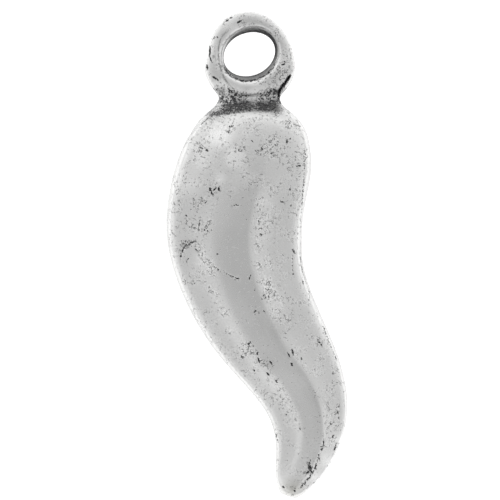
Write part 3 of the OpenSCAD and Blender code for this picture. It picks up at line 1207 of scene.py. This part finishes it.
    def paint(self, spots: Spots) -> dict[Tone, np.ndarray]:
        """Works out each attribute from the points' places.

        Args:
            spots: the points.

        Returns:
            One array of numbers from 0 to 1 for each tone.
        """
        inside, _ = self.loop.in_mouth(spots)
        share = self.pepper.shares(spots)
        return {
            Tone.TARNISH: self.tarnish(spots),
            Tone.FILM: self.film(spots),
            Tone.MATT: 1 - ease(*self.hole_edge, inside),
            Tone.MARKS: self.marks(spots),
            Tone.PITTING: self.pitting(spots),
            Tone.SPECKLE: self.speckle(spots, share),
            Tone.STAIN: spots.front * self.stained.share(spots),
            Tone.POLISH: self.polish(spots, share),
        }

    def neck(self, spots: Spots) -> tuple[np.ndarray, np.ndarray, np.ndarray]:
        """Where the neck is black: patina, with painted shade on the slope below it and painted
        light on its lit flanks.

        Args:
            spots: the points.

        Returns:
            How far each place belongs to the neck, to its lower part and to its narrow sides.
        """
        x, y = spots.x, spots.y
        out = np.hypot(x - self.loop.centre[0], y - self.loop.centre[1])
        side = np.abs(x - self.neck_middle)
        foot = np.interp(x, *np.array(self.foot).T)
        # Painted shade: a soft black on the concave slope below the neck's patina.
        painted_shade_skirt = self.painted_shade_share * ease(*self.painted_shade_skirt, side)
        soft, crisp = (ease(foot + low, foot + high, y) for low, high in self.foot_fades)
        above = painted_shade_skirt * soft + (1 - painted_shade_skirt) * crisp
        limb = ease(*self.limb, out) * (1 - ease(*self.limb_foot, y))
        # Painted light: the lit flanks of the neck lose part of their black.
        beside, begun, ended = (ease(*f, at) for f, at in zip(self.lit_flank, (side, y, y)))
        lit_flank = beside * begun * (1 - ended)
        wall = ease(*self.wall_side, side) * (1 - ease(*self.wall_level, spots.level))
        deep = 1 - ease(*self.dark_top, y)
        narrow = ease(*self.narrow, side) * (1 - deep)
        return above * limb * (1 - self.lit_flank_loss * lit_flank) * (1 - wall), deep, narrow

    def blotched(self, spots: Spots) -> np.ndarray:
        """How much darker or lighter than elsewhere the neck is."""
        return sum(blotch.share(spots) for blotch in self.blotches)

    def tarnish(self, spots: Spots) -> np.ndarray:
        """Lays broken black in the neck, with painted shade on the slope below it, under the hole
        and along the parting line.

        Args:
            spots: the points.

        Returns:
            The cover at each point.
        """
        neck, deep, _ = self.neck(spots)
        upper, lower = self.broken_cover
        cover = upper + (lower - upper) * deep + self.blotched(spots)
        inside, angle = self.loop.in_mouth(spots)
        low = ease(*self.lip_low, -np.sin(np.radians(angle)))
        place, half = self.lip
        lip = np.exp(-(((inside - place) / half) ** 2)) * low * (spots.z > MID)
        steep = 1 - ease(*self.seam_level, spots.level)
        seam = np.exp(-(((spots.z - MID) / self.seam_half) ** 2)) * steep * self.seam_cover
        broken = np.maximum(neck * np.clip(cover, 0, 1), lip)
        return np.maximum(broken, seam * (inside > self.seam_from))

    def film(self, spots: Spots) -> np.ndarray:
        """Lays an even black: patina in the neck with painted shade on the slope below it, patina
        and painted shade on the hole's wall, and painted shade along the loop's crease.

        Args:
            spots: the points.

        Returns:
            The cover at each point.
        """
        neck, deep, narrow = self.neck(spots)
        upper, lower, sides = self.film_cover
        cover = upper + (lower - upper) * deep + (sides - upper) * narrow
        cover = cover + self.film_blotches * self.blotched(spots)
        inside, angle = self.loop.in_mouth(spots)
        # The hole's wall: patina, and painted shade that is darkest at mid-depth.
        around = np.interp(angle, *np.array(self.hole_cover).T, period=360)
        painted_shade_waist = 1 - ease(*self.painted_shade_waist, np.abs(spots.z - MID))
        hole = (1 - ease(*self.hole_edge, inside)) * around * (1 + self.waist_painted_shade * painted_shade_waist)
        dark = np.maximum(neck * np.clip(cover, 0, 1), hole)
        # Painted shade along the loop's crease.
        for line in self.wear.crease:
            near = ease(*self.ink, line.nearness(spots)) * (spots.z > MID)
            dark = np.maximum(dark, line.dark * near)
        return dark

    def marks(self, spots: Spots) -> np.ndarray:
        """Lays black in the single marks: steep skin loses it, but not the groove, whose black is
        also painted shade.

        Args:
            spots: the points.

        Returns:
            The cover at each point.
        """
        facing = ease(*self.facing, spots.up)
        dark = np.zeros(len(spots.x))
        for mark in self.wear.marks:
            near = ease(*self.ink, mark.nearness(spots, self.ink_spread * mark.width))
            # The groove keeps its black, patina and painted shade, on steep skin too.
            kept = 1.0 if mark in self.wear.groove else facing
            dark = np.maximum(dark, mark.dark * near * kept)
        return (spots.z > MID) * dark

    def pitting(self, spots: Spots) -> np.ndarray:
        """Scatters small pits: gathered in clusters on the front, evenly on the back.

        Args:
            spots: the points.

        Returns:
            The share of pits at each point.
        """
        upper, lower = self.bare_pitting
        bare = lower + (upper - lower) * ease(*self.halves, spots.y)
        gathered = np.max([cluster.share(spots) for cluster in self.clusters], axis=0)
        spared = sum(patch.share(spots) for patch in self.clean)
        return bare + spots.front * (gathered - spared)

    def polish(self, spots: Spots, share: np.ndarray) -> np.ndarray:
        """Works out how bright the silver's colour is: burnished metal with painted highlights and
        shade, and darker on steep skin.

        Args:
            spots: the points.
            share: how far across the pepper they lie.

        Returns:
            Numbers that are 0.5 where the skin is neither bright nor dull.
        """
        # Patches and streaks of burnished metal, painted highlights and painted shade.
        worn = sum(patch.share(spots) for patch in self.polish_and_painted_light_patches)
        lined = sum(streak.painted_light_and_polish * streak.weight(share, spots.y) for streak in self.streaks)
        steep = 1 - ease(*self.dull_level, spots.level)
        return 0.5 + spots.front * (worn + lined) - self.steep_dullness * steep

    def speckle(self, spots: Spots, share: np.ndarray) -> np.ndarray:
        """Works out the strength of the fine speckle.

        Args:
            spots: the points.
            share: how far across the pepper they lie.

        Returns:
            The strength at each point.
        """
        y = spots.y
        streaked = np.max([s.rough * s.weight(share, y) for s in self.streaks], axis=0)
        middle, half = self.smooth_band
        smooth = 1 - ease(*self.smooth_edge, np.abs(share - middle) - half)
        smooth = smooth * ease(*self.smooth_foot, y) * (1 - ease(*self.smooth_top, y))
        lack, more_lack = self.smooth_lack
        rest, more = self.rest
        lost = (lack + more_lack * ease(*self.smooth_rise, y)) * smooth
        rest = (rest + more * ease(*self.rest_rise, y)) * (1 - lost)
        facing = spots.front * ease(*self.rest_facing, spots.up)
        rest = rest * (self.back + (1 - self.back) * facing)
        return np.maximum(spots.front * np.maximum(streaked, self.shoulder.share(spots)), rest)


class Net:
    """Adds nodes to one node tree and links them."""

    def __init__(self, tree: bpy.types.NodeTree) -> None:
        """Keeps the tree."""
        self.tree = tree

    def feed(self, socket: bpy.types.NodeSocket, value: Fed) -> None:
        """Links an output to an input, or sets the input's number or colour.

        Args:
            socket: the input.
            value: the output, number or colour.
        """
        if isinstance(value, bpy.types.NodeSocket):
            self.tree.links.new(value, socket)
        else:
            socket.default_value = value

    def node(self, kind: str, inputs: dict[str | int, Fed], **settings: object) -> bpy.types.Node:
        """Adds a node.

        Args:
            kind: the node's type.
            inputs: what its inputs get, by name or number.
            settings: its own settings.

        Returns:
            The new node.
        """
        node = self.tree.nodes.new(kind)
        for name, value in settings.items():
            setattr(node, name, value)
        for name, value in inputs.items():
            self.feed(node.inputs[name], value)
        return node

    def maths(self, operation: str, *values: Fed) -> bpy.types.NodeSocket:
        """Adds a sum of one, two or three numbers, and gives its result."""
        node = self.node("ShaderNodeMath", dict(enumerate(values)), operation=operation)
        return node.outputs[0]

    times = partialmethod(maths, "MULTIPLY")
    plus = partialmethod(maths, "ADD")
    minus = partialmethod(maths, "SUBTRACT")
    most = partialmethod(maths, "MAXIMUM")
    times_plus = partialmethod(maths, "MULTIPLY_ADD")

    def blend(self, factor: Fed, first: Fed, second: Fed) -> bpy.types.NodeSocket:
        """Adds a mix of two numbers, and gives its result."""
        inputs = {"Factor": factor, "A": first, "B": second}
        return self.node("ShaderNodeMix", inputs, data_type="FLOAT").outputs["Result"]

    def colour(self, factor: Fed, first: Fed, second: Fed) -> bpy.types.NodeSocket:
        """Adds a mix of two colours.

        Args:
            factor: the share of the second colour.
            first: the first colour.
            second: the second colour.

        Returns:
            The mixed colour.
        """
        node = self.node("ShaderNodeMix", {}, data_type="RGBA")
        sockets = (s for s in node.inputs if s.enabled)
        for socket, value in zip(sockets, (factor, first, second)):
            self.feed(socket, value)
        return next(s for s in node.outputs if s.enabled)

    def rise(self, value: Fed, low: Fed, high: Fed) -> bpy.types.NodeSocket:
        """Adds a smooth rise from 0 at low to 1 at high, and gives its result."""
        inputs = {"Value": value, "From Min": low, "From Max": high}
        return self.node("ShaderNodeMapRange", inputs, interpolation_type="SMOOTHSTEP").outputs[0]

    def noise(
        self, place: Fed, per_mm: Fed, detail: float = 2.0, output: str = "Fac"
    ) -> bpy.types.NodeSocket:
        """Adds a noise.

        Args:
            place: where it is read, in millimetres.
            per_mm: how many waves it has to a millimetre.
            detail: how many finer noises lie on it.
            output: which of its outputs is wanted.

        Returns:
            That output.
        """
        inputs = {"Vector": place, "Scale": per_mm, "Detail": detail}
        return self.node("ShaderNodeTexNoise", inputs).outputs[output]

    def painted(self, tone: Tone) -> bpy.types.NodeSocket:
        """Reads one of the casting's attributes."""
        return self.node("ShaderNodeAttribute", {}, attribute_name=tone.value).outputs["Fac"]

    def effect(self, group: bpy.types.NodeTree, *values: Fed) -> bpy.types.NodeSocket:
        """Places a group of nodes.

        Args:
            group: the group.
            values: what its inputs get, in their order.

        Returns:
            Its output.
        """
        node = self.node("ShaderNodeGroup", {}, node_tree=group)
        for socket, value in zip(node.inputs, values):
            self.feed(socket, value)
        return node.outputs[0]


def effect_group(
    name: str, numbers: Sequence[str], result: str, recipe: Callable[..., Fed]
) -> bpy.types.NodeTree:
    """Builds a node group.

    Args:
        name: the group's name.
        numbers: its inputs besides Place, which takes a place in millimetres.
        result: its output.
        recipe: takes the net inside the group and its inputs, and gives what the output gets.

    Returns:
        The group.
    """
    group = bpy.data.node_groups.new(name, "ShaderNodeTree")
    sockets = [("Place", "INPUT", "Vector"), *((n, "INPUT", "Float") for n in numbers)]
    for socket, side, kind in (*sockets, (result, "OUTPUT", "Float")):
        group.interface.new_socket(name=socket, in_out=side, socket_type="NodeSocket" + kind)
    net = Net(group)
    given = net.node("NodeGroupInput", {}).outputs
    made = recipe(net, *(given[socket] for socket, _, _ in sockets))
    net.node("NodeGroupOutput", {result: made})
    return group


def ragged_pits(net: Net, place: Fed, size: Fed, share: Fed) -> Fed:
    """Scatters ragged pits.

    Args:
        net: the net inside the group.
        place: the place, in millimetres.
        size: the distance from pit to pit.
        share: how many of them there are.

    Returns:
        The mask.
    """
    scaled = net.node(
        "ShaderNodeVectorMath",
        {"Vector": place, "Scale": net.maths("DIVIDE", 1.0, size)},
        operation="SCALE",
    ).outputs[0]
    moved = net.node(
        "ShaderNodeVectorMath",
        {0: net.noise(scaled, 1.9, output="Color"), 1: (0.75, 0.75, 0.75), 2: scaled},
        operation="MULTIPLY_ADD",
    )
    cells = net.node("ShaderNodeTexVoronoi", {"Vector": moved.outputs[0], "Scale": 1.0}).outputs
    luck = net.node("ShaderNodeSeparateColor", {"Color": cells["Color"]}).outputs[0]
    over = net.times(net.minus(net.plus(luck, share), 1.0), 2.5)
    reach = net.times(net.maths("MINIMUM", over, 1.0), 0.46)
    mask = net.rise(cells["Distance"], reach, net.minus(reach, 0.16))
    return net.times(mask, net.maths("GREATER_THAN", reach, 0.02))


def broken_patina(net: Net, place: Fed, cover: Fed, waves: Fed, wear: Fed) -> Fed:
    """Rubs patina off in patches and specks.

    Args:
        net: the net inside the group.
        place: the place, in millimetres.
        cover: how much of the patina is left.
        waves: how fine the patches are to a millimetre.
        wear: how far they spread over a cover's edge.

    Returns:
        The mask.
    """
    patches = net.noise(place, waves, detail=3.0)
    specks = net.noise(place, net.times(waves, 2.0), detail=1.0)
    uneven = net.minus(net.blend(0.5, patches, specks), 0.5)
    left = net.times_plus(uneven, wear, cover)
    return net.times(net.rise(left, 0.22, 0.82), net.rise(cover, 0.0, 0.12))


def hair_strokes(net: Net, place: Fed, waves: Fed, share: Fed) -> Fed:
    """Scatters short curved scratches, fine as a hair.

    Args:
        net: the net inside the group.
        place: the place, in millimetres.
        waves: how fine they are to a millimetre.
        share: how many there are.

    Returns:
        The mask.
    """
    swirl = net.noise(place, waves, detail=1.0)
    line = net.rise(net.maths("ABSOLUTE", net.minus(swirl, 0.5)), 0.085, 0.02)
    moved = net.node(
        "ShaderNodeVectorMath", {0: place, 1: (7.3, 1.7, 4.1)}, operation="ADD"
    ).outputs[0]
    breaks = net.noise(moved, net.times(waves, 0.9), detail=0.0)
    least = net.times_plus(share, -0.34, 0.735)
    return net.times(line, net.rise(breaks, least, net.plus(least, 0.05)))


def worn_grain(net: Net, place: Fed, waves: Fed) -> Fed:
    """Gives the fine grain of a worn casting.

    Args:
        net: the net inside the group.
        place: the place, in millimetres.
        waves: how many grains there are to a millimetre.

    Returns:
        The grain.
    """
    coarse = net.noise(place, waves, detail=1.0)
    fine = net.noise(place, net.times(waves, 2.3), detail=1.0)
    return net.rise(net.blend(0.45, coarse, fine), 0.32, 0.68)


@dataclass(frozen=True)
class AntiqueSilver:
    """Worn satin silver with black patina in its hollows, and the painted light and shade that the
    casting's attributes carry.
    """

    bright: Colour = (0.93, 0.93, 0.925)
    dull: Colour = (0.56, 0.56, 0.555)
    patina: Colour = (0.05, 0.05, 0.052)
    stain: Colour = (0.42, 0.41, 0.35)
    pit_sizes: tuple[float, float] = (0.22, 0.11)
    """Distance from pit to pit, for the coarse and the fine pits."""
    pit_dark: tuple[float, float] = (0.85, 0.6)
    """How black they are."""
    coarse_share: float = 0.62
    """How many of the pits are coarse ones too."""
    patch_waves: float = 1.5
    """Waves to a millimetre of the patches in which pits and speckle gather."""
    patch_edge: Span = (0.40, 0.62)
    """Tones of that noise between which a patch sets in."""
    patch_pits: tuple[float, float] = (0.07, -0.035)
    """What a patch adds to the share of pits, and what is added everywhere."""
    patch_speckle: tuple[float, float] = (0.30, 1.45)
    """Strength of the speckle outside the patches and in them."""
    mark_wear: tuple[float, float] = (9.0, 4.0)
    """Waves to a millimetre and wear of the black in the marks."""
    tarnish_wear: tuple[float, float] = (7.0, 4.4)
    """Waves and wear of the broken black."""
    tarnish_strength: float = 0.97
    fleck_waves: float = 7.5
    # Waves to a millimetre of the flecks where the even black is thin.
    """Waves to a millimetre of the flecks where the film is thin."""
    fleck_edge: Span = (0.51, 0.61)
    """Tones of that noise between which a fleck sets in."""
    fleck_film: tuple[float, float] = (1.0, 0.32)
    # How much of the even black is left outside the flecks and in them.
    """How much of the film is left outside the flecks and in them."""
    hole_film: float = 0.88
    """How much of it is left at least on the hole's wall."""
    grain_waves: float = 13.0
    grain_contrast: float = 0.9
    """How strongly the grain shows in the colour."""
    grain_height: float = 0.35
    """Height of the grain, as a share of the relief."""
    stroke_waves: float = 8.5
    stroke_dark: tuple[float, float] = (0.12, 0.75)
    """How black the scratches are on plain and on worked metal."""
    worked_speckle: float = 0.5
    """How far speckled metal counts as worked."""
    unscratched: float = 0.12
    """How far worked metal is still without scratches."""
    clouds: tuple[float, float] = (0.55, 0.25)
    # Waves to a millimetre and strength of the clouds in the silver's brightness.
    """Waves to a millimetre and strength of the clouds in the polish."""
    stain_wear: tuple[float, float] = (3.0, 0.8)
    """Waves and strength of the stain."""
    satin: tuple[float, float, float] = (0.27, 0.36, 0.30)
    """Roughness of smooth silver, and of speckled silver between its grains and on them."""
    patina_satin: float = 0.5
    """Roughness of the black."""
    relief: float = 0.025
    """Height of the relief, in millimetres."""

    def material(self) -> bpy.types.Material:
        """Builds the material.

        Returns:
            The new material.
        """
        material = bpy.data.materials.new("antique_silver")
        material.use_nodes = True
        net = Net(material.node_tree)
        shader = material.node_tree.nodes["Principled BSDF"].inputs
        shader["Specular IOR Level"].default_value = 0.0
        where = net.node("ShaderNodeTexCoord", {}).outputs["Object"]
        scale = (1 / MM, 1 / MM, 1 / MM)
        place = net.node("ShaderNodeMapping", {"Vector": where, "Scale": scale}).outputs[0]
        grain = effect_group("worn_grain", ("Waves",), "Grain", worn_grain)
        grains = net.effect(grain, place, self.grain_waves)
        matt = net.painted(Tone.MATT)

        patchy = net.rise(net.noise(place, self.patch_waves), *self.patch_edge)
        share = net.plus(net.painted(Tone.PITTING), net.times_plus(patchy, *self.patch_pits))
        speckle = net.times(net.painted(Tone.SPECKLE), net.blend(patchy, *self.patch_speckle))
        swing = net.times(net.minus(grains, 0.5), speckle)
        # The second mask holds patina and painted shade.
        marks, tarnish = self.black(net, place, matt)
        hollow = net.most(self.hollows(net, place, share, speckle), marks)
        dark = net.most(hollow, tarnish)

        silver = self.silver(net, place, swing)
        net.feed(shader["Base Color"], net.colour(dark, silver, (*self.patina, 1)))
        net.feed(shader["Metallic"], net.minus(1.0, matt))
        smooth, *speckled = self.satin
        satin = net.blend(speckle, smooth, net.blend(grains, *speckled))
        net.feed(shader["Roughness"], net.blend(dark, satin, self.patina_satin))
        height = net.minus(net.times(swing, self.grain_height), hollow)
        bump = {"Height": height, "Distance": self.relief * MM, "Strength": 1.0}
        net.feed(shader["Normal"], net.node("ShaderNodeBump", bump).outputs["Normal"])
        return material

    def black(self, net: Net, place: Fed, matt: Fed) -> tuple[Fed, Fed]:
        """Makes the black in the marks, and the broken and the even black; all hold patina and
        some painted shade.

        Args:
            net: the material's net.
            place: the place, in millimetres.
            matt: 1 on the hole's wall, whose film is whole.

        Returns:
            The two masks.
        """
        patina = effect_group(
            "broken_patina", ("Cover", "Waves", "WearAndPaintedShade"), "Mask", broken_patina
        )
        marks = net.effect(patina, place, net.painted(Tone.MARKS), *self.mark_wear)
        # Broken black: patina, with painted shade on the slope below the neck.
        tarnish = net.effect(patina, place, net.painted(Tone.TARNISH), *self.tarnish_wear)
        flecks = net.rise(net.noise(place, self.fleck_waves, detail=3.0), *self.fleck_edge)
        left = net.most(net.blend(flecks, *self.fleck_film), net.times(matt, self.hole_film))
        # Even black: patina, and painted shade on the hole's wall and along the loop's crease.
        film = net.times(net.painted(Tone.FILM), left)
        return marks, net.most(net.times(tarnish, self.tarnish_strength), film)

    def hollows(self, net: Net, place: Fed, share: Fed, speckle: Fed) -> Fed:
        """Makes the small pits and the fine scratches.

        Args:
            net: the material's net.
            place: the place, in millimetres.
            share: how many pits there are.
            speckle: how strong the speckle is.

        Returns:
            The mask.
        """
        pits = effect_group("ragged_pits", ("Size", "Share"), "Mask", ragged_pits)
        shares = (net.times(share, self.coarse_share), share)
        coarse, fine = (
            net.times(net.effect(pits, place, size, some), black)
            for size, some, black in zip(self.pit_sizes, shares, self.pit_dark)
        )
        worked = net.plus(share, net.times(speckle, self.worked_speckle))
        strokes = effect_group("hair_strokes", ("Waves", "Share"), "Mask", hair_strokes)
        spread = net.minus(worked, self.unscratched)
        scratched = net.effect(strokes, place, self.stroke_waves, spread)
        scratched = net.times(scratched, net.blend(worked, *self.stroke_dark))
        return net.most(net.most(coarse, fine), scratched)

    def silver(self, net: Net, place: Fed, swing: Fed) -> Fed:
        """Makes the bare metal's colour, with burnishing and painted light and shade in it.

        Args:
            net: the material's net.
            place: the place, in millimetres.
            swing: how much brighter each grain is.

        Returns:
            The colour.
        """
        waves, strength = self.clouds
        clouds = net.minus(net.noise(place, waves, detail=3.0), 0.5)
        # This tone holds painted highlights and shade as well as burnished metal.
        drift = net.plus(net.times(clouds, strength), net.painted(Tone.POLISH))
        lustre = net.times_plus(swing, self.grain_contrast, drift)
        silver = net.colour(lustre, (*self.dull, 1), (*self.bright, 1))
        waves, strength = self.stain_wear
        stained = net.times(net.painted(Tone.STAIN), strength)
        stained = net.times(stained, net.noise(place, waves))
        return net.colour(stained, silver, (*self.stain, 1))


@dataclass(frozen=True)
class Studio:
    """The light table, the soft light round it and the camera above it."""

    table_radius: float = 0.6
    table_glow: float = 0.62
    dome: tuple[tuple[float, float], ...] = (
        (0, 0.5), (0.18, 0.72), (0.4, 0.92), (0.52, 0.84), (0.66, 0.63), (0.8, 0.58), (0.9, 0.55),
        (0.965, 0.495), (1, 0.415),
    )
    """Light of the dome: height from the horizon to overhead, and tone."""
    brightness: float = 1.2
    slant: tuple[float, float] = (-0.05, 0.10)
    """How much brighter the dome is towards +X and +Y."""
    view_centre: tuple[float, float] = (-0.294, 0.226)
    """The point under the middle of the picture, in millimetres."""
    view_width: float = 22.63
    """What the picture is across at the charm's mid-plane, in millimetres."""
    lens: float = 200.0
    sensor: float = 36.0

    def table(self) -> bpy.types.Object:
        """Builds the table's top.

        Returns:
            The new object.
        """
        bpy.ops.object.select_all(action="DESELECT")
        bpy.ops.mesh.primitive_circle_add(
            vertices=64, radius=self.table_radius, fill_type="NGON", location=(0, 0, 0)
        )
        top = bpy.context.object
        top.name = "light_table"
        material = bpy.data.materials.new("pale_table")
        material.use_nodes = True
        shader = material.node_tree.nodes["Principled BSDF"].inputs
        shader["Base Color"].default_value = (0.9, 0.9, 0.9, 1)
        shader["Roughness"].default_value = 0.6
        shader["Emission Color"].default_value = (1, 1, 1, 1)
        shader["Emission Strength"].default_value = self.table_glow
        top.data.materials.append(material)
        return top

    def sky(self) -> None:
        """Lights the scene from a dome, softest overhead and brightest beyond the loop."""
        world = bpy.data.worlds.new("soft_dome")
        bpy.context.scene.world = world
        world.use_nodes = True
        net = Net(world.node_tree)
        background = world.node_tree.nodes["Background"].inputs
        way = net.node("ShaderNodeTexCoord", {}).outputs["Generated"]
        x, y, z = net.node("ShaderNodeSeparateXYZ", {"Vector": way}).outputs
        ramp = net.node("ShaderNodeValToRGB", {"Fac": z})
        stops = ramp.color_ramp.elements
        stops[0].position, stops[1].position = self.dome[0][0], self.dome[-1][0]
        for height, _ in self.dome[1:-1]:
            stops.new(height)
        for stop, (_, tone) in zip(stops, self.dome):
            stop.color = (tone, tone, tone, 1)
        slant = net.times_plus(x, self.slant[0], net.times_plus(y, self.slant[1], 1.0))
        net.feed(background["Color"], ramp.outputs["Color"])
        net.feed(background["Strength"], net.times(slant, self.brightness))

    def camera(self) -> None:
        """Hangs the camera straight above the charm, as the photo was taken."""
        x, y = (view + seat for view, seat in zip(self.view_centre, SEAT))
        height = MID + self.view_width * self.lens / self.sensor
        bpy.ops.object.select_all(action="DESELECT")
        bpy.ops.object.camera_add(location=(x * MM, y * MM, height * MM), rotation=(0, 0, 0))
        camera = bpy.context.object
        camera.data.lens = self.lens
        camera.data.sensor_width = self.sensor
        camera.data.clip_start = 10 * MM
        camera.data.clip_end = 10.0
        bpy.context.scene.camera = camera


def main() -> None:
    """Builds the charm and its studio."""
    logging.basicConfig(level=logging.INFO, format="%(name)s: %(message)s")
    bpy.context.scene.view_settings.view_transform = "Standard"
    studio = Studio()
    studio.camera()
    studio.sky()
    studio.table()

    charm = Casting().model()
    charm.data.materials.append(AntiqueSilver().material())
    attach(charm, BODY)
    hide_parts(CAD_NODE)
    triangles = sum(len(face.vertices) - 2 for face in charm.data.polygons)
    log.info("%s: %d triangles", charm.name, triangles)


if __name__ == "__main__":
    main()
